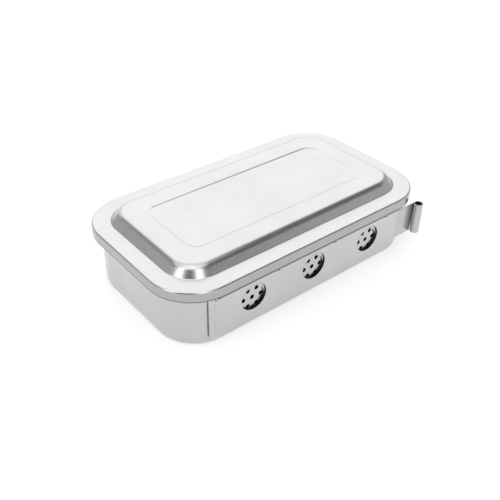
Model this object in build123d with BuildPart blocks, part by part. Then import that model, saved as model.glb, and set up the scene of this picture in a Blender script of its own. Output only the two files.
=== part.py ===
from build123d import *
import math
import os

# Covered instrument tray in pressed stainless sheet, with a lift-off lid and a sliding vent shutter.
# The origin is the centre of the tray's base. +X runs along the length towards the shutter's pull,
# -Y is the long side that carries the vents, and +Z is up.

# Lid
sheet = 0.6
lid_length = 210.0
lid_width = 120.0
skirt_depth = 7.2
lid_bend = 1.2
rim_width = 11.7
dome_height = 6.0
dome_slope = 47.0
dome_corner = 21.0
dome_shoulder = 7.5

# Sunken panel on the lid's top
panel_end_margin = 32.4
panel_side_margin = 31.9
panel_corner = 9.0
panel_depth = 0.6
panel_slope = 22.0

# Tray, which the lid's flat rim rests on
tray_height = 45.0
tray_corner = 27.2
base_bend = 4.0
rim_reach = 4.1
rim_roll = 1.7
rim_flat = 0.6
rim_seam = 1.0
skirt_clearance = 0.5
corner_ease = 1.2

# Vents: clusters of small holes through the front wall
vent_count = 3
vent_spread = 3.0
vent_hole = 3.1
vent_edge = 0.25
holes_on_ring = 6

# Shutter, a flat strip that slides in the guide and ends in a rolled pull
slide_sheet = 0.5
slide_margin = 2.95
slide_end = 1.6
vent_cover = 0.25
pull_width = 6.5
curl_turn = 318.0

# Guide, a plate welded to the wall by its flange and pressed out over the shutter
guide_sheet = 0.6
guide_stand = 1.8
guide_above_bend = 1.0
guide_below_rim = 2.2
guide_reveal = 1.05
window_lift = 1.5
guide_beyond = 18.6
guide_flange = 4.0
guide_draft = 15.0
guide_corner = 1.5
guide_edge = 0.2
side_clearance = 0.35
end_clearance = 0.4
stop_gap = 0.3

# Small bends are 45 degree flats and the base's inner bend is three flats. Each flat's legs are a
# share of the bend's radius.
flat_share = 2 - math.sqrt(2)
side_flat_share = math.tan(math.radians(22.5)) - math.tan(math.radians(11.25))

# Places that follow from the sizes above
overhang = rim_reach + skirt_clearance + sheet
tray_length = lid_length - 2 * overhang
tray_width = lid_width - 2 * overhang
lid_corner = tray_corner + overhang - corner_ease
lid_rim_top = tray_height + sheet
skirt_low = lid_rim_top - skirt_depth
panel_length = lid_length - 2 * panel_end_margin
panel_width = lid_width - 2 * panel_side_margin
rim_depth = 2 * rim_roll + rim_flat
rim_low = tray_height - rim_depth

draft_run = guide_stand * math.tan(math.radians(guide_draft))
guide_low = base_bend + guide_above_bend
guide_high = rim_low - guide_below_rim
foot_half = (guide_high - guide_low) / 2 - guide_flange
pocket_half = foot_half - guide_sheet - draft_run
slide_height = 2 * (pocket_half - side_clearance)
slide_window = slide_height - 2 * slide_margin
guide_window = slide_window + 2 * guide_reveal

vent_height = (guide_low + guide_high) / 2
vent_pitch = (tray_length - 2 * tray_corner + vent_spread) / vent_count
vent_ring = slide_window / 2 - vent_hole / 2 - vent_edge
vents_reach = vent_pitch * (vent_count - 1) / 2
slide_travel = vent_ring + vent_hole / 2 + slide_window / 2 + vent_cover
slide_left = -(vents_reach + slide_window / 2 + slide_end)
pocket_left = slide_left - slide_travel - end_clearance
guide_right = vents_reach + guide_window / 2 + guide_beyond
pull_x = guide_right + stop_gap + slide_travel + pull_width / 2
foot_left = pocket_left - guide_sheet - draft_run

slide_gap = (guide_stand - guide_sheet - slide_sheet) / 2
slide_back = -tray_width / 2 - slide_gap
slide_middle = slide_back - slide_sheet / 2
wall_plane = Plane.XZ.offset(tray_width / 2)


def tray_form(inset, low, top):
    """Rounded tray with a bent base edge, moved inwards by inset."""
    bend = base_bend - inset
    with BuildPart() as form:
        with BuildSketch(Plane.XY.offset(low)):
            RectangleRounded(tray_length - 2 * inset, tray_width - 2 * inset, tray_corner - inset)
        extrude(amount=top - low)
        base_edges = form.faces().sort_by(Axis.Z)[0].edges()
        if inset:
            chamfer(base_edges, flat_share * bend)
            rows = form.edges().group_by(Axis.Z)
            chamfer(rows[0] + rows[2], side_flat_share * bend)
        else:
            fillet(base_edges, bend)
    return form.part


def ring_around_tray(inner, outer, low, top, outer_bend=0.0, inner_bend=0.0):
    """Band around the tray's wall, between two distances from its outside, with bends along its edges."""
    with BuildPart() as band:
        with BuildSketch(Plane.XY.offset(low)):
            RectangleRounded(tray_length + 2 * outer, tray_width + 2 * outer, tray_corner + outer)
            RectangleRounded(
                tray_length + 2 * inner, tray_width + 2 * inner, tray_corner + inner, mode=Mode.SUBTRACT
            )
        extrude(amount=top - low)
        if outer_bend:
            chamfer(band.faces().sort_by(Axis.Z)[-1].outer_wire().edges(), flat_share * outer_bend)
            chamfer(band.faces().sort_by(Axis.Z)[0].outer_wire().edges(), flat_share * outer_bend)
        if inner_bend:
            chamfer(band.faces().sort_by(Axis.Z)[-1].inner_wires()[0].edges(), flat_share * inner_bend)
    return band.part


def lid_form(inset, low):
    """Pressed lid as a full solid, moved inwards by inset: skirt, rim, dome and sunken panel."""
    rim_top = lid_rim_top - inset
    dome_top = rim_top + dome_height
    foot_shift = inset * math.tan(math.radians(dome_slope / 2))
    step_shift = inset * math.tan(math.radians(panel_slope / 2))
    with BuildPart() as form:
        with BuildSketch(Plane.XY.offset(low)):
            RectangleRounded(lid_length - 2 * inset, lid_width - 2 * inset, lid_corner - inset)
        extrude(amount=rim_top - low)
        with BuildSketch(Plane.XY.offset(rim_top)):
            RectangleRounded(
                lid_length - 2 * (rim_width + foot_shift),
                lid_width - 2 * (rim_width + foot_shift),
                dome_corner - foot_shift,
            )
        extrude(amount=dome_height, taper=90 - dome_slope)
        rim_face = form.faces().filter_by(Plane.XY).sort_by(Axis.Z)[-2]
        chamfer(rim_face.outer_wire().edges(), flat_share * (lid_bend - inset))
        fillet(form.faces().sort_by(Axis.Z)[-1].edges(), dome_shoulder - inset)
        with BuildSketch(Plane.XY.offset(dome_top)):
            RectangleRounded(
                panel_length + 2 * step_shift, panel_width + 2 * step_shift, panel_corner + step_shift
            )
        extrude(amount=-panel_depth, taper=90 - panel_slope, mode=Mode.SUBTRACT)
    return form.part


# Tray body: a deep-drawn shell whose rim is turned outwards and rolled under
tray_outside = tray_form(0, 0, tray_height)
tray_inside = tray_form(sheet, sheet, tray_height + sheet)
hollow_bend = rim_roll - sheet
rim_outside = ring_around_tray(-sheet, rim_reach, rim_low, tray_height, rim_roll)
rim_hollow = ring_around_tray(
    0, rim_reach - sheet, rim_low + sheet, tray_height - sheet, hollow_bend, hollow_bend
)
rim_opening = ring_around_tray(0, rim_seam, rim_low, rim_low + sheet)

with BuildPart() as tray_body:
    add(tray_outside)
    add(rim_outside)
    add(rim_hollow, mode=Mode.SUBTRACT)
    add(rim_opening, mode=Mode.SUBTRACT)
    add(tray_inside, mode=Mode.SUBTRACT)
    mouth = tray_body.faces().filter_by(Plane.XY).sort_by(Axis.Z)[-1]
    chamfer(mouth.inner_wires()[0].edges(), flat_share * rim_roll)
    with BuildSketch(wall_plane):
        with GridLocations(vent_pitch, 0, vent_count, 1):
            with Locations((0, vent_height)):
                Circle(vent_hole / 2)
                with PolarLocations(vent_ring, holes_on_ring):
                    Circle(vent_hole / 2)
    extrude(amount=-2 * sheet, mode=Mode.SUBTRACT)
tray_body.part.label = "tray_body"

# Lid: one pressing, open underneath, whose flat rim rests on the tray's rim
lid_outside = lid_form(0, skirt_low)
lid_inside = lid_form(sheet, skirt_low - sheet)

with BuildPart() as lid:
    add(lid_outside)
    add(lid_inside, mode=Mode.SUBTRACT)
lid.part.label = "lid"

# Vent guide: flange flat on the wall, pocket pressed outwards, round windows, open at the pull's end
with BuildPart() as vent_guide:
    with BuildSketch(wall_plane):
        with Locations(((foot_left - guide_flange + guide_right) / 2, vent_height)):
            RectangleRounded(
                guide_right - foot_left + guide_flange, 2 * (foot_half + guide_flange), guide_corner
            )
    extrude(amount=guide_sheet)
    with BuildSketch(wall_plane):
        with Locations(((foot_left + guide_right) / 2 + guide_flange, vent_height)):
            RectangleRounded(
                guide_right - foot_left + 2 * guide_flange, 2 * foot_half, guide_corner + draft_run
            )
    extrude(amount=guide_stand, taper=guide_draft)
    chamfer(vent_guide.faces().sort_by(Axis.Y)[0].edges(), guide_edge)
    with BuildSketch(wall_plane):
        with Locations(((pocket_left + guide_right) / 2 + guide_flange, vent_height)):
            Rectangle(guide_right - pocket_left + 2 * guide_flange, 2 * pocket_half)
    extrude(amount=guide_stand - guide_sheet, mode=Mode.SUBTRACT)
    with BuildSketch(wall_plane):
        with Locations((0, vent_height + window_lift)):
            with GridLocations(vent_pitch, 0, vent_count, 1):
                Circle(guide_window / 2)
    extrude(amount=guide_stand, mode=Mode.SUBTRACT)
    split(bisect_by=Plane.YZ.offset(guide_right), keep=Keep.BOTTOM)
vent_guide.part.label = "vent_guide"

# Vent slide: flat strip with windows like the guide's, its end curled outwards into a hollow pull
curl_radius = (pull_width - slide_sheet) / 2
with BuildPart() as vent_slide:
    with BuildSketch(Plane.XY.offset(vent_height - slide_height / 2)):
        with BuildLine():
            strip = Line((slide_left, slide_middle), (pull_x, slide_middle))
            CenterArc((pull_x, slide_middle - curl_radius), curl_radius, 90, -curl_turn)
        trace(line_width=slide_sheet)
    extrude(amount=slide_height)
    with BuildSketch(wall_plane):
        with Locations((0, vent_height)):
            with GridLocations(vent_pitch, 0, vent_count, 1):
                Circle(slide_window / 2)
    extrude(amount=guide_stand, mode=Mode.SUBTRACT)
vent_slide.part.label = "vent_slide"

os.makedirs("parts", exist_ok=True)
export_step(tray_body.part, "parts/tray_body.step")
export_step(lid.part, "parts/lid.step")
export_step(vent_guide.part, "parts/vent_guide.step")
export_step(vent_slide.part, "parts/vent_slide.step")
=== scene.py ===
"""Covered instrument tray in satin stainless sheet: its pieces, their finish and the studio."""

import logging
import math
from dataclasses import dataclass
from enum import Enum

import bpy
from mathutils import Matrix, Vector


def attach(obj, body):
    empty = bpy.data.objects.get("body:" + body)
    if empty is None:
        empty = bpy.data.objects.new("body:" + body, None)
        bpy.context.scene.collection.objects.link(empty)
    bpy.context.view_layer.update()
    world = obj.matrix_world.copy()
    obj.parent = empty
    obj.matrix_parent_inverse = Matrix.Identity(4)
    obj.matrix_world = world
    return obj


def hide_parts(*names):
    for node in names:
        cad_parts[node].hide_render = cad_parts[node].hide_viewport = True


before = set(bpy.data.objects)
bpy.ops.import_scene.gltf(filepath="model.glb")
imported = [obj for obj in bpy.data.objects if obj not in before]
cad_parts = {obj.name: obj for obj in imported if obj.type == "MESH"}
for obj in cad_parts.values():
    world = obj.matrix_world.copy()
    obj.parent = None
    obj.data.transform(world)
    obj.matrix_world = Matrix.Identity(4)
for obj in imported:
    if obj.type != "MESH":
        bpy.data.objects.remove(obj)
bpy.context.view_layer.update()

log = logging.getLogger("instrument_tray")

Pair = tuple[float, float]
Triple = tuple[float, float, float]
Colour = tuple[float, float, float, float]

MM = 0.001
WHITE = (1.0, 1.0, 1.0, 1.0)

# The mean of a noise
MEAN = 0.5
# Faces that meet at less than this angle are shaded as one
SMOOTH_ANGLE = math.radians(35.0)
# Edges sharper than this angle are cut edges, which are rounded in a few steps
CUT_ANGLE = math.radians(40.0)
CUT_EDGE_STEPS = 2
# How strongly a large face holds its own shading against the small ones round it
FACE_WEIGHT = 80
# Points nearer than this are merged
SAME_POINT = 0.001 * MM
# How far a cutter reaches past the sheet
PAST = 1.0 * MM


class Ray(Enum):
    """The kinds of ray that see white surroundings."""

    CAMERA = "Is Camera Ray"
    GLOSSY = "Is Glossy Ray"
    TRANSMISSION = "Is Transmission Ray"


class Wire:
    """An output socket of a node graph, with arithmetic that adds Math nodes."""

    def __init__(self, graph: "Graph", socket: bpy.types.NodeSocket | None) -> None:
        """Keeps the socket and the graph that it belongs to."""
        self.graph = graph
        self.socket = socket

    def math(self, operation: str, *others: "Wire | float") -> "Wire":
        """Returns the result of a Math node on this wire and the others."""
        values = dict(enumerate((self, *others)))
        return self.graph.add("ShaderNodeMath", {"operation": operation}, values)

    def __add__(self, other: "Wire | float") -> "Wire":
        """Returns the sum."""
        return self.math("ADD", other)

    __radd__ = __add__

    def __mul__(self, other: "Wire | float") -> "Wire":
        """Returns the product."""
        return self.math("MULTIPLY", other)

    __rmul__ = __mul__

    def __sub__(self, other: "Wire | float") -> "Wire":
        """Returns the difference."""
        return self.math("SUBTRACT", other)

    def __rsub__(self, other: float) -> "Wire":
        """Returns a number less this wire."""
        return self.graph.add("ShaderNodeMath", {"operation": "SUBTRACT"}, {0: other, 1: self})


class Graph:
    """A material's or the world's node tree, built node by node."""

    # Sockets of a Mix node that mixes colours, by place, because their names repeat
    MIX_SHARE = 0
    MIX_LOW = 6
    MIX_HIGH = 7
    MIX_RESULT = 2

    def __init__(self, tree: bpy.types.NodeTree) -> None:
        """Keeps the tree, emptied."""
        self.tree = tree
        tree.nodes.clear()

    def add(self, kind: str, settings: dict, sockets: dict, output: int | str = 0) -> Wire:
        """Adds a node.

        Args:
            kind: the node's type.
            settings: its properties, where "stops" are a ramp's two (place, grey) pairs.
            sockets: values or wires for its inputs, by name or place.
            output: which of its outputs to return.

        Returns:
            The chosen output, or a wire with no socket if the node has none.
        """
        node = self.tree.nodes.new(kind)
        for name, value in settings.items():
            if name == "stops":
                for element, (place, tone) in zip(node.color_ramp.elements, value):
                    element.position = place
                    element.color = grey(tone)
            else:
                setattr(node, name, value)
        for name, value in sockets.items():
            if isinstance(value, Wire):
                self.tree.links.new(value.socket, node.inputs[name])
            else:
                node.inputs[name].default_value = value
        return Wire(self, node.outputs[output] if len(node.outputs) else None)

    def place(self) -> Wire:
        """Returns the point that is shaded, in the piece's own coordinates."""
        return self.add("ShaderNodeTexCoord", {}, {}, "Object")

    def axis(self, place: Wire, number: int) -> Wire:
        """Returns one coordinate of a place: 0 for x, 1 for y or 2 for z."""
        return self.add("ShaderNodeSeparateXYZ", {}, {0: place}, number)

    def ramp(self, wire: Wire, *stops: Pair) -> Wire:
        """Returns the wire sent through a grey ramp with two (place, grey) stops."""
        return self.add("ShaderNodeValToRGB", {"stops": stops}, {0: wire})

    def blend(self, share: Wire, low: Colour | Wire, high: Colour) -> Wire:
        """Returns a colour between two, by a share from 0 to 1."""
        sockets = {self.MIX_SHARE: share, self.MIX_LOW: low, self.MIX_HIGH: high}
        return self.add("ShaderNodeMix", {"data_type": "RGBA"}, sockets, self.MIX_RESULT)

    def seen_by(self, first: Ray, *others: Ray) -> Wire:
        """Finds out which kind of ray is being traced.

        Args:
            first: one kind of ray.
            others: further kinds.

        Returns:
            1 for a ray of any of these kinds, and 0 for others.
        """
        seen = self.add("ShaderNodeLightPath", {}, {}, first.value)
        for ray in others:
            seen = seen.math("MAXIMUM", self.add("ShaderNodeLightPath", {}, {}, ray.value))
        return seen


def grey(tone: float) -> Colour:
    """Returns a grey of this tone, from 0 to 1."""
    return (tone, tone, tone, 1.0)


def new_material(name: str) -> tuple[bpy.types.Material, Graph]:
    """Makes an empty material.

    Args:
        name: its name.

    Returns:
        The material and its node graph.
    """
    material = bpy.data.materials.new(name)
    material.use_nodes = True
    return material, Graph(material.node_tree)


@dataclass(frozen=True)
class VentLayout:
    """Where the vents stand along the front wall, and how finely their round edges are drawn.

    ring and hole are radii: a cluster is one hole with the others on a ring round it.
    """

    pitch: float = 49.4 * MM
    height: float = 21.9 * MM
    ring: float = 6.72 * MM
    hole: float = 1.55 * MM
    holes_on_ring: int = 6
    hole_sides: int = 28
    window_sides: int = 96

    def centres(self) -> list[float]:
        """Returns the x of each cluster's centre."""
        return [-self.pitch, 0.0, self.pitch]

    def holes(self) -> list[Pair]:
        """Finds the small holes.

        Returns:
            The (x, z) of every small hole.
        """
        places = []
        for x in self.centres():
            places.append((x, self.height))
            for number in range(self.holes_on_ring):
                turn = 2 * math.pi * number / self.holes_on_ring
                across, up = self.ring * math.cos(turn), self.ring * math.sin(turn)
                places.append((x + across, self.height + up))
        return places

    def windows(self, lift: float = 0.0) -> list[Pair]:
        """Returns the (x, z) of each window's centre, lifted above its vents."""
        return [(x, self.height + lift) for x in self.centres()]


@dataclass(frozen=True)
class Pattern:
    """Fractal noise over a piece.

    It is turned about Z in degrees, then stretched: both stretch and scale are in waves per metre.
    """

    stretch: Triple | None = None
    scale: float = 1.0
    turn: float = 0.0
    detail: float = 1.0
    fractal: float = 0.5

    def draw(self, graph: Graph, place: Wire) -> Wire:
        """Adds the noise.

        Args:
            graph: the material's graph.
            place: the point that is shaded.

        Returns:
            The noise, from 0 to 1.
        """
        if self.stretch:
            turned = {"Vector": place, "Rotation": (0.0, 0.0, math.radians(self.turn))}
            flat = graph.add("ShaderNodeMapping", {}, turned)
            place = graph.add("ShaderNodeMapping", {}, {"Vector": flat, "Scale": self.stretch})
        sockets = {"Vector": place, "Scale": self.scale, "Detail": self.detail}
        return graph.add("ShaderNodeTexNoise", {}, {**sockets, "Roughness": self.fractal})


@dataclass(frozen=True)
class Marks(Pattern):
    """Marks on the sheet, which appear where a pattern is strong.

    They start at the pattern's first edge and are full at its second. dulling is what they add to
    the roughness, and depth is how deeply they cut, as a share of the grain's height.
    """

    edges: Pair = (0.0, 1.0)
    dulling: float = 0.06
    depth: float = 0.0

    def mask(self, graph: Graph, place: Wire) -> Wire:
        """Returns where the marks are, from 0 to 1."""
        start, full = self.edges
        return graph.ramp(self.draw(graph, place), (start, 0.0), (full, 1.0))


@dataclass(frozen=True)
class SatinSteel:
    """Rolled and lightly polished stainless sheet.

    tone and the tone of the painted shade on cut edges are greys from 0 to 1, and dim, pale and the
    other tones are shares of tone. The band is painted shade, a darker skirt below band_top, with a
    painted shadow line along its trimmed edge below band_low. Painted shade also darkens the cut
    edges nearer to a window's centre than cut_radius, as far as cut_reach vent pitches from the
    middle.
    """

    name: str
    tone: float = 0.62
    roughness: float = 0.24
    warmth: float = 0.012
    dim: float = 0.955
    pale: float = 1.03
    cloud: Pattern = Pattern(scale=26.0, detail=4.0, fractal=0.55)
    cloud_edges: Pair = (0.30, 0.70)
    cloud_dulling: float = 0.07
    grain: Pattern = Pattern((30.0, 1500.0, 1500.0), detail=3.0, fractal=0.6)
    grain_dulling: float = 0.10
    grain_depth: float = 0.02 * MM
    grain_strength: float = 0.35
    waves: Pattern = Pattern(scale=21.0)
    wave_depth: float = 0.10 * MM
    wipes: Marks = Marks(
        (18.0, 70.0, 55.0), turn=24.0, detail=3.0, fractal=0.6, edges=(0.50, 0.72), dulling=0.035
    )
    scratches: Marks = Marks((12.0, 2400.0, 1100.0), turn=4.0, edges=(0.74, 0.84), depth=0.25)
    flecks: Marks = Marks(scale=900.0, edges=(0.70, 0.80), depth=0.4)
    fleck_tone: float = 0.80
    fleck_warmth: float = 0.01
    fleck_share: float = 0.35
    # The darker skirt band is painted shade, and the dark line at its trimmed edge is a painted
    # shadow
    band_top: float = 0.0
    band_low: float = 0.0
    band_shade_tone: float = 0.66
    trim_shadow_tone: float = 0.26
    trim_shadow_share: float = 0.9
    cut_radius: float = 0.0
    cut_height: float = 0.0
    cut_reach: float = 1.4
    # Tone of the painted shade on the windows' cut edges
    cut_shade_tone: float = 0.06
    vents: VentLayout = VentLayout()

    def shade(self, share: float, blue: float = 0.0) -> Colour:
        """Returns a share of the steel's own tone, with a little more or less blue."""
        return (self.tone * share, self.tone * share, self.tone * (share + blue), 1.0)

    def add_band_shade(self, graph: Graph, place: Wire, colour: Wire) -> Wire:
        """Adds painted shade on the skirt and a painted shadow line along its trimmed edge.

        Args:
            graph: the material's graph.
            place: the point that is shaded.
            colour: the colour so far.

        Returns:
            The new colour.
        """
        height = graph.axis(place, 2)
        skirt = height.math("LESS_THAN", self.band_top)
        trim_shadow_mask = height.math("LESS_THAN", self.band_low)
        # Painted shade on the skirt, then a painted shadow line along its trimmed edge
        colour = graph.blend(skirt, colour, self.shade(self.band_shade_tone))
        return graph.blend(trim_shadow_mask * self.trim_shadow_share, colour, self.shade(self.trim_shadow_tone))

    def paint_cut_shade(self, graph: Graph, place: Wire, colour: Wire) -> Wire:
        """Paints shade on the windows' punched edges, as dark as the shadowed pocket behind them.

        Args:
            graph: the material's graph.
            place: the point that is shaded.
            colour: the colour so far.

        Returns:
            The new colour.
        """
        pitch = self.vents.pitch
        across = graph.axis(place, 0)
        up = graph.axis(place, 2) - self.cut_height
        along = across.math("WRAP", pitch / 2, -pitch / 2)
        away = (along * along + up * up).math("SQRT")
        near = across.math("ABSOLUTE").math("LESS_THAN", self.cut_reach * pitch)
        edge = away.math("LESS_THAN", self.cut_radius) * near
        # Painted shade on the cut edges round each window
        return graph.blend(edge, colour, grey(self.cut_shade_tone))

    def add_colour(self, graph: Graph, place: Wire, cloud: Wire, flecks: Wire) -> Wire:
        """Adds clouded, flecked colour, and painted shade on the band and cuts of what has them.

        Args:
            graph: the material's graph.
            place: the point that is shaded.
            cloud: the clouding, from 0 to 1.
            flecks: where the flecks are, from 0 to 1.

        Returns:
            The colour.
        """
        start, full = self.cloud_edges
        clouded = graph.ramp(cloud, (start, 0.0), (full, 1.0))
        low, high = self.shade(self.dim, -self.warmth), self.shade(self.pale, self.warmth)
        colour = graph.blend(clouded, low, high)
        fleck = self.shade(self.fleck_tone, -self.fleck_warmth)
        colour = graph.blend(flecks * self.fleck_share, colour, fleck)
        if self.band_top:
            colour = self.add_band_shade(graph, place, colour)
        # Painted shade on the windows' cut edges
        if self.cut_radius:
            colour = self.paint_cut_shade(graph, place, colour)
        return colour

    def add_relief(self, graph: Graph, place: Wire, height: Wire) -> Wire:
        """Adds the sheet's slight waves, with the finer relief on them.

        Args:
            graph: the material's graph.
            place: the point that is shaded.
            height: the finer relief's height.

        Returns:
            The normal.
        """
        waves = self.waves.draw(graph, place)
        sockets = {"Strength": 1.0, "Distance": self.wave_depth, "Height": waves}
        wavy = graph.add("ShaderNodeBump", {}, sockets)
        sockets = {"Strength": self.grain_strength, "Distance": self.grain_depth, "Height": height}
        return graph.add("ShaderNodeBump", {}, {**sockets, "Normal": wavy})

    def make(self) -> bpy.types.Material:
        """Makes the material: grain, clouding, wipe marks, fine scratches, flecks and slight waves.

        Returns:
            The material.
        """
        material, graph = new_material(self.name)
        place = graph.place()
        grain = self.grain.draw(graph, place)
        cloud = self.cloud.draw(graph, place)
        wipes = self.wipes.mask(graph, place)
        scratches = self.scratches.mask(graph, place)
        flecks = self.flecks.mask(graph, place)
        rough = self.roughness + (grain - MEAN) * self.grain_dulling
        rough = rough + (cloud - MEAN) * self.cloud_dulling + wipes * self.wipes.dulling
        rough = rough + scratches * self.scratches.dulling + flecks * self.flecks.dulling
        height = grain - scratches * self.scratches.depth - flecks * self.flecks.depth
        sockets = {
            "Base Color": self.add_colour(graph, place, cloud, flecks),
            "Metallic": 1.0,
            "Roughness": rough,
            "Normal": self.add_relief(graph, place, height),
        }
        surface = graph.add("ShaderNodeBsdfPrincipled", {}, sockets)
        graph.add("ShaderNodeOutputMaterial", {}, {"Surface": surface})
        return material


@dataclass(frozen=True)
class Outline:
    """One rounded rectangle of a pressing, measured from the pressing's outside."""

    inset: float
    height: float
    corner: float


def arc(centre: Pair, radius: float, start: float, end: float, steps: int) -> list[Pair]:
    """Draws a circular bend of a pressing's section.

    Args:
        centre: the bend's (inset, height).
        radius: its radius.
        start: the first point's angle in degrees, from +inset towards +height.
        end: the last point's angle.
        steps: how many straight steps it is divided into.

    Returns:
        (inset, height) pairs, both ends included.
    """
    angles = [math.radians(start + (end - start) * step / steps) for step in range(steps + 1)]
    return [(centre[0] + radius * math.cos(a), centre[1] + radius * math.sin(a)) for a in angles]


def select_only(thing: bpy.types.Object) -> None:
    """Deselects everything else and makes an object the selected and active one.

    Args:
        thing: the object.
    """
    bpy.ops.object.select_all(action="DESELECT")
    thing.select_set(True)
    bpy.context.view_layer.objects.active = thing


def open_mesh(name: str) -> bpy.types.Object:
    """Makes an empty mesh object and opens it in edit mode.

    Args:
        name: the object's and the mesh's name.

    Returns:
        The object.
    """
    thing = bpy.data.objects.new(name, bpy.data.meshes.new(name))
    bpy.context.collection.objects.link(thing)
    select_only(thing)
    bpy.ops.object.mode_set(mode="EDIT")
    return thing


def draw_post(foot: Triple, height: float) -> None:
    """Draws one upright edge in the open mesh and leaves it selected.

    Args:
        foot: its lower end.
        height: how far it rises.
    """
    bpy.ops.mesh.primitive_plane_add(size=1.0, location=(0.0, 0.0, 0.0))
    bpy.ops.mesh.delete(type="EDGE_FACE")
    bpy.ops.mesh.select_all(action="SELECT")
    bpy.ops.mesh.merge(type="CENTER")
    bpy.ops.transform.translate(value=foot)
    bpy.ops.mesh.extrude_region_move(TRANSFORM_OT_translate={"value": (0.0, 0.0, height)})
    bpy.ops.mesh.select_all(action="SELECT")


def sweep(centre: Pair, angle: float, steps: int) -> None:
    """Sweeps what is selected in the open mesh about an upright axis.

    Args:
        centre: the axis's (x, y).
        angle: how far it turns in degrees, clockwise seen from above.
        steps: how many straight steps the turn is divided into.
    """
    x, y = centre
    turn = math.radians(angle)
    bpy.ops.mesh.spin(steps=steps, angle=turn, center=(x, y, 0.0), axis=(0.0, 0.0, 1.0))


def join(things: list[bpy.types.Object]) -> bpy.types.Object:
    """Joins new objects into one, with its place in its mesh.

    Args:
        things: the objects, of which the last is the active one.

    Returns:
        The one object.
    """
    bpy.ops.object.select_all(action="DESELECT")
    for thing in things:
        thing.select_set(True)
    bpy.ops.object.join()
    bpy.ops.object.transform_apply(location=True, rotation=True, scale=True)
    return bpy.context.object


def drill(
    places: list[Pair], radius: float, low: float, high: float, sides: int
) -> bpy.types.Object:
    """Makes one cutter of round bars along Y.

    Args:
        places: each bar's (x, z).
        radius: the bars' radius.
        low: the bars' lowest y.
        high: the bars' highest y.
        sides: how many sides each bar has.

    Returns:
        The cutter.
    """
    bars = []
    for x, z in places:
        bpy.ops.mesh.primitive_cylinder_add(
            vertices=sides,
            radius=radius,
            depth=high - low,
            location=(x, (low + high) / 2, z),
            rotation=(math.pi / 2, 0.0, 0.0),
        )
        bars.append(bpy.context.object)
    return join(bars)


@dataclass
class SheetPiece:
    """A piece of stainless sheet that stands for a node and moves with its body.

    edge is how widely its cut edges are rounded.
    """

    node: str
    body: str
    slot: str
    finish: SatinSteel
    sheet: float = 0.6 * MM
    edge: float = 0.08 * MM
    vents: VentLayout = VentLayout()
    piece: bpy.types.Object | None = None

    def start(self) -> None:
        """Makes the piece's empty mesh and opens it in edit mode."""
        self.piece = open_mesh(f"{self.node}_sheet")

    def modify(self, kind: str, **settings: object) -> None:
        """Adds a modifier and applies it.

        Args:
            kind: the modifier's type.
            settings: its properties.
        """
        modifier = self.piece.modifiers.new(kind.title(), kind)
        for name, value in settings.items():
            setattr(modifier, name, value)
        select_only(self.piece)
        bpy.ops.object.modifier_apply(modifier=modifier.name)

    def thicken(self, offset: float = -1.0) -> None:
        """Gives the surface the sheet's thickness.

        Args:
            offset: -1 to thicken it inwards, or 0 to thicken it both ways.
        """
        even = {"use_even_offset": True, "use_quality_normals": True}
        self.modify("SOLIDIFY", thickness=self.sheet, offset=offset, **even)

    def cut(self, cutter: bpy.types.Object) -> None:
        """Cuts the cutter's shape out of the piece and deletes the cutter."""
        self.modify("BOOLEAN", operation="DIFFERENCE", solver="EXACT", object=cutter)
        bpy.data.objects.remove(cutter)

    def dress(self) -> None:
        """Rounds the cut edges, shades the piece and ties it to its finish, node and body."""
        limits = {"limit_method": "ANGLE", "angle_limit": CUT_ANGLE}
        self.modify("BEVEL", width=self.edge, segments=CUT_EDGE_STEPS, **limits)
        select_only(self.piece)
        bpy.ops.object.shade_smooth_by_angle(angle=SMOOTH_ANGLE)
        self.modify("WEIGHTED_NORMAL", keep_sharp=True, weight=FACE_WEIGHT)
        steel = self.finish.make()
        for thing in (self.piece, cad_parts[self.node]):
            thing.data.materials.clear()
            thing.data.materials.append(steel)
        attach(self.piece, self.body)
        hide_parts(self.node)
        log.info("%s: %d faces", self.piece.name, len(self.piece.data.polygons))


@dataclass
class Pressing(SheetPiece):
    """Sheet drawn into rounded rectangular outlines, one inside or above another."""

    length: float = 0.0
    width: float = 0.0
    corner_steps: int = 24

    def select_outlines(self, count: int) -> None:
        """Adds the last outlines to what is selected.

        Args:
            count: how many of them.
        """
        groups = self.piece.vertex_groups
        for index in range(len(groups) - count, len(groups)):
            groups.active_index = index
            bpy.ops.object.vertex_group_select()

    def add_outline(self, outline: Outline, length: float) -> None:
        """Adds one rounded rectangle and bridges it to the one before.

        Args:
            outline: its inset, height and corner.
            length: the whole pressing's length.
        """
        size = (length - 2 * outline.inset, self.width - 2 * outline.inset, 1.0)
        middle = (0.0, 0.0, outline.height)
        bpy.ops.mesh.primitive_plane_add(size=1.0, location=middle)
        bpy.ops.transform.resize(value=size, center_override=middle)
        bpy.ops.mesh.bevel(affect="VERTICES", offset=outline.corner, segments=self.corner_steps)
        bpy.ops.object.vertex_group_assign_new()
        bpy.ops.mesh.delete(type="ONLY_FACE")
        if len(self.piece.vertex_groups) > 1:
            self.select_outlines(2)
            bpy.ops.mesh.bridge_edge_loops()

    def draw(self, outlines: list[Outline], spare: float = 0.0) -> None:
        """Draws the surface through its outlines and closes the last one with a flat face.

        Args:
            outlines: the outlines, in order along the section.
            spare: how much longer it is drawn than the finished piece.
        """
        self.start()
        for outline in outlines:
            self.add_outline(outline, self.length + spare)
        bpy.ops.mesh.select_all(action="DESELECT")
        self.select_outlines(1)
        bpy.ops.mesh.edge_face_add()
        bpy.ops.mesh.select_all(action="SELECT")
        bpy.ops.mesh.normals_make_consistent(inside=False)
        bpy.ops.object.mode_set(mode="OBJECT")
        self.piece.vertex_groups.clear()
        rise = outlines[-1].height - outlines[0].height
        if self.piece.data.polygons[-1].normal.z * rise < 0:
            self.piece.data.flip_normals()


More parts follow.
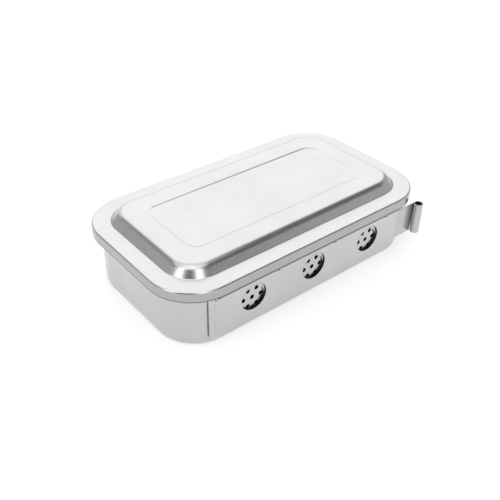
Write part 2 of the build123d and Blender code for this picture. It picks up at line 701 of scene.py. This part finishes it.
@dataclass
class Lid(Pressing):
    """The lid: skirt, flat rim, dome with a soft shoulder, and a sunken panel.

    Slopes are in degrees, rim and panel are insets from the lid's outside, and foot, shoulder, bend
    and panel_bend are radii.
    """

    length: float = 210.0 * MM
    width: float = 120.0 * MM
    edge: float = 0.12 * MM
    low: float = 38.4 * MM
    rim_top: float = 45.6 * MM
    corner: float = 31.2 * MM
    bend: float = 1.2 * MM
    rim: float = 11.7 * MM
    dome_corner: float = 21.0 * MM
    dome_height: float = 6.0 * MM
    dome_slope: float = 47.0
    foot: float = 1.0 * MM
    shoulder: float = 7.5 * MM
    panel: float = 32.2 * MM
    panel_corner: float = 9.0 * MM
    panel_depth: float = 0.6 * MM
    panel_slope: float = 22.0
    panel_bend: float = 2.6 * MM
    bend_steps: int = 6
    foot_steps: int = 5
    shoulder_steps: int = 14
    panel_steps: int = 4

    def rim_outlines(self) -> list[Outline]:
        """Draws the section of the skirt and the rim's bend.

        Returns:
            The outlines from the skirt's edge to the flat rim.
        """
        centre = (self.bend, self.rim_top - self.bend)
        points = [(0.0, self.low), *arc(centre, self.bend, 180.0, 90.0, self.bend_steps)]
        return [Outline(i, z, self.corner - i) for i, z in points]

    def dome_outlines(self) -> list[Outline]:
        """Draws the section of the dome.

        Returns:
            The outlines from the dome's foot to the end of its shoulder.
        """
        slope = math.radians(self.dome_slope)
        tangent = math.tan(slope / 2)
        foot = (self.rim - self.foot * tangent, self.rim_top + self.foot)
        points = arc(foot, self.foot, -90.0, -90.0 + self.dome_slope, self.foot_steps)
        top = self.rim + self.dome_height / math.tan(slope) + self.shoulder * tangent
        centre = (top, self.rim_top + self.dome_height - self.shoulder)
        points += arc(centre, self.shoulder, 90.0 + self.dome_slope, 90.0, self.shoulder_steps)
        return [Outline(i, z, self.dome_corner + self.rim - i) for i, z in points]

    def panel_outlines(self) -> list[Outline]:
        """Draws the section of the sunken panel.

        Returns:
            The outlines from the panel's upper edge to its floor.
        """
        dome_top = self.rim_top + self.dome_height
        slope = math.radians(self.panel_slope)
        reach = self.panel_bend * math.tan(slope / 2)
        run = self.panel_depth / math.tan(slope)
        edge = (self.panel - reach, dome_top - self.panel_bend)
        points = arc(edge, self.panel_bend, 90.0, 90.0 - self.panel_slope, self.panel_steps)
        floor = (self.panel + run + reach, dome_top - self.panel_depth + self.panel_bend)
        points += arc(floor, self.panel_bend, -90.0 - self.panel_slope, -90.0, self.panel_steps)
        return [Outline(i, z, self.panel_corner + self.panel - i) for i, z in points]

    def build(self) -> None:
        """Draws, thickens and dresses the lid."""
        self.draw(self.rim_outlines() + self.dome_outlines() + self.panel_outlines())
        self.thicken()
        self.dress()


@dataclass
class Tray(Pressing):
    """The tray: floor, base bend, walls, and a rim turned outwards and rolled under.

    rim_end is the angle at which the roll ends inside itself. mouth_start is a little short of a
    quarter turn, so that no two outlines in a row lie in one plane, where a bridge may twist.
    """

    length: float = 199.6 * MM
    width: float = 109.6 * MM
    top: float = 45.0 * MM
    corner: float = 27.2 * MM
    base_bend: float = 4.0 * MM
    rim_reach: float = 4.1 * MM
    rim_roll: float = 1.7 * MM
    rim_flat: float = 0.6 * MM
    rim_end: float = 20.0
    mouth_start: float = 84.0
    roll_steps: int = 15
    turn_steps: int = 7
    base_steps: int = 9

    def outlines(self) -> list[Outline]:
        """Draws the tray's section.

        Returns:
            The outlines from the rolled edge down the wall's outside to the floor.
        """
        under = self.rim_roll - self.sheet
        level = self.top - self.rim_roll
        roll = self.rim_roll - self.rim_reach
        points = arc((roll, level - self.rim_flat), under, self.rim_end, -180.0, self.roll_steps)
        points += arc((roll, level), under, -180.0, -270.0, self.turn_steps)
        points += arc((-under, level), under, self.mouth_start, 0.0, self.turn_steps)
        base = (self.base_bend, self.base_bend)
        points += arc(base, self.base_bend, 180.0, 270.0, self.base_steps)
        return [Outline(i, z, self.corner - i) for i, z in points]

    def build(self) -> None:
        """Draws, thickens, drills and dresses the tray."""
        self.draw(self.outlines())
        self.thicken()
        front = -self.width / 2
        low, high = front - PAST, front + 2 * PAST
        self.cut(drill(self.vents.holes(), self.vents.hole, low, high, self.vents.hole_sides))
        self.dress()


@dataclass
class Guide(Pressing):
    """The vent guide: welded flange, pocket pressed outwards, round windows, open at its right end.

    wall is how far the wall that it stands on is from the tray's middle, and window is a radius.
    bend, the fold's radius, is more than the sheet's thickness, because a tighter fold turns inside
    out when it is thickened. A ball of radius weld_ball leaves each weld's dimple, weld_depth deep.
    """

    length: float = 159.6 * MM
    width: float = 33.8 * MM
    corner_steps: int = 10
    wall: float = 54.8 * MM
    right: float = 77.56 * MM
    stand: float = 1.8 * MM
    flange: float = 4.0 * MM
    draft: float = 15.0
    bend: float = 0.75 * MM
    bend_steps: int = 5
    corner: float = 1.5 * MM
    window: float = 9.57 * MM
    window_lift: float = 1.5 * MM
    weld_count: int = 4
    weld_pitch: float = 47.9 * MM
    weld_start: float = 4.6 * MM
    weld_inset: float = 2.6 * MM
    weld_ball: float = 3.0 * MM
    weld_depth: float = 0.22 * MM
    ball_sides: int = 64
    ball_rings: int = 48

    def outlines(self) -> list[Outline]:
        """Draws the guide's section.

        Returns:
            The outlines from the flange's edge to the pocket's face.
        """
        lean = 90.0 - self.draft
        tangent = self.bend * math.tan(math.radians(lean) / 2)
        run = (self.stand - self.sheet) * math.tan(math.radians(self.draft))
        points = [(0.0, self.sheet)]
        foot = (self.flange - tangent, self.sheet + self.bend)
        points += arc(foot, self.bend, -90.0, -90.0 + lean, self.bend_steps)
        face = (self.flange + run + tangent, self.stand - self.bend)
        points += arc(face, self.bend, 90.0 + lean, 90.0, self.bend_steps)
        return [Outline(i, z, self.corner) for i, z in points]

    def stand_on_wall(self, spare: float) -> None:
        """Turns the plate upright, puts it on the wall, and trims its spare length off.

        Args:
            spare: how much too long it was drawn, beyond its open end.
        """
        middle = self.right + spare - (self.length + spare) / 2
        place = Matrix.Translation((middle, -self.wall, self.vents.height))
        self.piece.data.transform(place @ Matrix.Rotation(math.pi / 2, 4, "X"))
        bpy.ops.object.mode_set(mode="EDIT")
        bpy.ops.mesh.select_all(action="SELECT")
        end, outwards = (self.right, 0.0, 0.0), (1.0, 0.0, 0.0)
        bpy.ops.mesh.bisect(plane_co=end, plane_no=outwards, clear_outer=True, use_fill=False)
        bpy.ops.object.mode_set(mode="OBJECT")

    def welds(self) -> list[Pair]:
        """Finds the spot welds.

        Returns:
            The (x, z) of every spot weld.
        """
        first = self.right - self.length + self.weld_start
        row = self.width / 2 - self.weld_inset
        columns = [first + number * self.weld_pitch for number in range(self.weld_count)]
        return [(x, self.vents.height + side * row) for x in columns for side in (-1, 1)]

    def dimples(self) -> bpy.types.Object:
        """Makes a cutter of balls that leave the spot welds' shallow dimples.

        Returns:
            The cutter.
        """
        balls = []
        out = -self.wall - self.sheet - self.weld_ball + self.weld_depth
        for x, z in self.welds():
            bpy.ops.mesh.primitive_uv_sphere_add(
                segments=self.ball_sides,
                ring_count=self.ball_rings,
                radius=self.weld_ball,
                location=(x, out, z),
            )
            balls.append(bpy.context.object)
        return join(balls)

    def build(self) -> None:
        """Draws the plate past its open end, stands it on the wall, cuts and dresses it."""
        spare = 2 * self.flange
        self.draw(self.outlines(), spare)
        self.stand_on_wall(spare)
        self.thicken()
        places = self.vents.windows(self.window_lift)
        low, high = -self.wall - self.stand - PAST, -self.wall + PAST
        self.cut(drill(places, self.window, low, high, self.vents.window_sides))
        self.cut(self.dimples())
        self.dress()


@dataclass
class Shutter(SheetPiece):
    """The vent slide: a flat strip with round windows, curled outwards into a hollow pull.

    pull is where the curl starts, curl is its radius, and curl_turn its angle in degrees. window is
    a radius, and middle is the y of the sheet's middle.
    """

    sheet: float = 0.5 * MM
    edge: float = 0.06 * MM
    left: float = -59.5 * MM
    pull: float = 98.15 * MM
    height: float = 22.93 * MM
    middle: float = -55.4 * MM
    window: float = 8.52 * MM
    curl: float = 2.99 * MM
    curl_turn: float = 318.0
    curl_steps: int = 44

    def draw(self) -> None:
        """Draws the strip's middle surface and its curl."""
        self.start()
        draw_post((self.left, self.middle, self.vents.height - self.height / 2), self.height)
        strip = {"value": (self.pull - self.left, 0.0, 0.0)}
        bpy.ops.mesh.extrude_region_move(TRANSFORM_OT_translate=strip)
        sweep((self.pull, self.middle - self.curl), self.curl_turn, self.curl_steps)
        bpy.ops.mesh.select_all(action="SELECT")
        bpy.ops.mesh.remove_doubles(threshold=SAME_POINT)
        bpy.ops.mesh.normals_make_consistent(inside=False)
        bpy.ops.object.mode_set(mode="OBJECT")

    def build(self) -> None:
        """Draws, thickens, cuts and dresses the slide."""
        self.draw()
        self.thicken(0.0)
        low, high = self.middle - PAST, self.middle + PAST
        self.cut(drill(self.vents.windows(), self.window, low, high, self.vents.window_sides))
        self.dress()


@dataclass(frozen=True)
class Floor:
    """Matt pale floor that keeps the tray's shadow.

    tones are its two greys, and glow is the white that the camera, mirrors and glass see besides.
    """

    size: float = 8.0
    tones: Pair = (0.77, 0.80)
    mottle: Pattern = Pattern(scale=40.0, detail=3.0)
    glow: float = 0.47

    def make(self) -> bpy.types.Material:
        """Makes the floor's material.

        Returns:
            The material.
        """
        material, graph = new_material("pale_floor")
        low, high = self.tones
        tint = graph.blend(self.mottle.draw(graph, graph.place()), grey(low), grey(high))
        shaded = graph.add("ShaderNodeBsdfDiffuse", {}, {"Color": tint})
        white = {"Color": WHITE, "Strength": graph.seen_by(*Ray) * self.glow}
        glow = graph.add("ShaderNodeEmission", {}, white)
        surface = graph.add("ShaderNodeAddShader", {}, {0: shaded, 1: glow})
        graph.add("ShaderNodeOutputMaterial", {}, {"Surface": surface})
        return material

    def lay(self) -> None:
        """Adds the floor."""
        bpy.ops.object.select_all(action="DESELECT")
        bpy.ops.mesh.primitive_plane_add(size=self.size, location=(0.0, 0.0, 0.0))
        floor = bpy.context.object
        floor.name = "floor"
        floor.data.materials.append(self.make())


@dataclass(frozen=True)
class Lamp:
    """A soft panel lamp that faces the tray.

    toward is the direction from the tray to the lamp and away its distance. size is its width and
    height, and glow how bright its face looks, where 1 is white.
    """

    name: str
    toward: Triple
    away: float
    size: Pair
    glow: float
    aim_height: float = 0.03

    def hang(self) -> None:
        """Adds the lamp."""
        data = bpy.data.lights.new(self.name, "AREA")
        data.shape = "RECTANGLE"
        data.size, data.size_y = self.size
        data.energy = self.glow * self.size[0] * self.size[1] * math.pi
        lamp = bpy.data.objects.new(self.name, data)
        direction = Vector(self.toward).normalized()
        lamp.location = direction * self.away + Vector((0.0, 0.0, self.aim_height))
        lamp.rotation_euler = direction.to_track_quat("Z", "Y").to_euler()
        bpy.context.scene.collection.objects.link(lamp)


@dataclass(frozen=True)
class Card:
    """A curved dark card round the tray, seen only in its reflections.

    start and end are its edges' azimuths in degrees from +X towards +Y. It rises by rise from low.
    Its grey goes from its first shade to its second between ramp_stops, as shares of ramp_height.
    """

    name: str
    start: float
    end: float
    rise: float
    shades: Pair
    away: float = 1.6
    low: float = 0.02
    steps: int = 24
    ramp_height: float = 2.0
    ramp_stops: Pair = (0.55, 0.76)

    def make(self) -> bpy.types.Material:
        """Makes the card's glowing grey material.

        Returns:
            The material.
        """
        material, graph = new_material(self.name)
        height = graph.axis(graph.place(), 2) * (1.0 / self.ramp_height)
        shade = graph.ramp(height, *zip(self.ramp_stops, self.shades))
        surface = graph.add("ShaderNodeEmission", {}, {"Color": shade, "Strength": 1.0})
        graph.add("ShaderNodeOutputMaterial", {}, {"Surface": surface})
        return material

    def hang(self) -> None:
        """Adds the card."""
        card = open_mesh(self.name)
        begin = math.radians(self.start)
        foot = (self.away * math.cos(begin), self.away * math.sin(begin), self.low)
        draw_post(foot, self.rise)
        sweep((0.0, 0.0), self.start - self.end, self.steps)
        bpy.ops.object.mode_set(mode="OBJECT")
        card.data.materials.append(self.make())
        card.visible_camera = False
        card.visible_diffuse = False
        card.visible_shadow = False


@dataclass(frozen=True)
class Studio:
    """Pale floor and world, soft lamps, dark cards, and the camera at the photograph's view.

    Angles are in degrees, aim is the point that the camera looks at, and the focal length and the
    picture's width are in the picture's pixels. world_fill is the world's strength as a light.
    """

    azimuth: float = -39.655
    elevation: float = 35.929
    roll: float = 0.986
    aim: Triple = (-40.85 * MM, -41.82 * MM, 45.6 * MM)
    distance: float = 424.59 * MM
    focal_px: float = 704.23
    picture_px: float = 500.0
    sensor_mm: float = 36.0
    nearest: float = 0.01
    world_fill: float = 0.65
    floor: Floor = Floor()
    lamps: tuple[Lamp, ...] = (
        Lamp("back_panel", (0.52, 0.62, 0.60), 1.5, (1.5, 1.3), 0.42),
        Lamp("front_strip", (-0.22, -0.76, 0.66), 1.5, (0.38, 1.0), 1.6),
        Lamp("left_strip", (-0.78, -0.02, 0.64), 1.5, (0.42, 1.0), 1.6),
        Lamp("top_panel", (-0.2, -0.1, 1.0), 1.4, (0.8, 0.8), 0.6),
    )
    cards: tuple[Card, ...] = (
        Card("front_card", -88.0, 24.0, 3.3, (0.52, 0.13)),
        Card("camera_card", -163.0, -122.0, 3.0, (0.16, 0.07)),
        Card("left_card", 95.0, 172.0, 1.9, (0.50, 0.18)),
    )

    def place_camera(self) -> None:
        """Adds the camera, with no shift."""
        turn = math.radians(self.azimuth)
        rise = math.radians(self.elevation)
        lean = math.radians(self.roll)
        level = math.cos(rise)
        back = Vector((math.sin(turn) * level, -math.cos(turn) * level, math.sin(rise)))
        right = Vector((math.cos(turn), math.sin(turn), 0.0))
        up = back.cross(right)
        across = right * math.cos(lean) + up * math.sin(lean)
        above = up * math.cos(lean) - right * math.sin(lean)
        data = bpy.data.cameras.new("camera")
        data.sensor_width = self.sensor_mm
        data.lens = self.focal_px / self.picture_px * data.sensor_width
        data.clip_start = self.nearest
        camera = bpy.data.objects.new("camera", data)
        bpy.context.scene.collection.objects.link(camera)
        place = Vector(self.aim) + back * self.distance
        axes = Matrix((across, above, back)).transposed().to_4x4()
        camera.matrix_world = Matrix.Translation(place) @ axes
        bpy.context.scene.camera = camera

    def add_world(self) -> None:
        """Adds the world, white where it is seen and dimmer as a light."""
        world = bpy.data.worlds.new("studio")
        bpy.context.scene.world = world
        world.use_nodes = True
        graph = Graph(world.node_tree)
        strength = graph.seen_by(*Ray) * (1.0 - self.world_fill) + self.world_fill
        glow = graph.add("ShaderNodeBackground", {}, {"Color": WHITE, "Strength": strength})
        graph.add("ShaderNodeOutputWorld", {}, {"Surface": glow})

    def build(self) -> None:
        """Sets the whole studio."""
        bpy.context.scene.view_settings.view_transform = "Standard"
        self.place_camera()
        self.floor.lay()
        self.add_world()
        for fitting in (*self.lamps, *self.cards):
            fitting.hang()
        log.info("studio: %d lamps, %d cards", len(self.lamps), len(self.cards))


def main() -> None:
    """Builds the lid, the tray, the vent guide and the shutter, then the studio."""
    logging.basicConfig(level=logging.INFO, format="%(name)s: %(message)s")
    # The lid's skirt gets a band of painted shade, and its trimmed edge a painted shadow line
    lid_steel = SatinSteel(
        "lid_steel", wave_depth=0.05 * MM, band_top=44.9 * MM, band_low=39.2 * MM
    )
    # The tray, guide and slide steels are darker copies of the lid's steel, as painted shade on the
    # upright walls
    tray_steel = SatinSteel("tray_steel", tone=0.55)
    # The guide's and the slide's window edges are darkened with painted shade
    guide_steel = SatinSteel(
        "guide_steel", tone=0.56, cut_radius=9.63 * MM, cut_height=23.4 * MM
    )
    slide_steel = SatinSteel(
        "slide_steel", tone=0.50, roughness=0.20, cut_radius=8.56 * MM, cut_height=21.9 * MM
    )
    Lid("lid", "lid", "lid_steel", lid_steel).build()
    Tray("tray_body", "tray", "tray_steel", tray_steel).build()
    Guide("vent_guide", "tray", "guide_steel", guide_steel).build()
    Shutter("vent_slide", "shutter", "slide_steel", slide_steel).build()
    Studio().build()


if __name__ == "__main__":
    main()
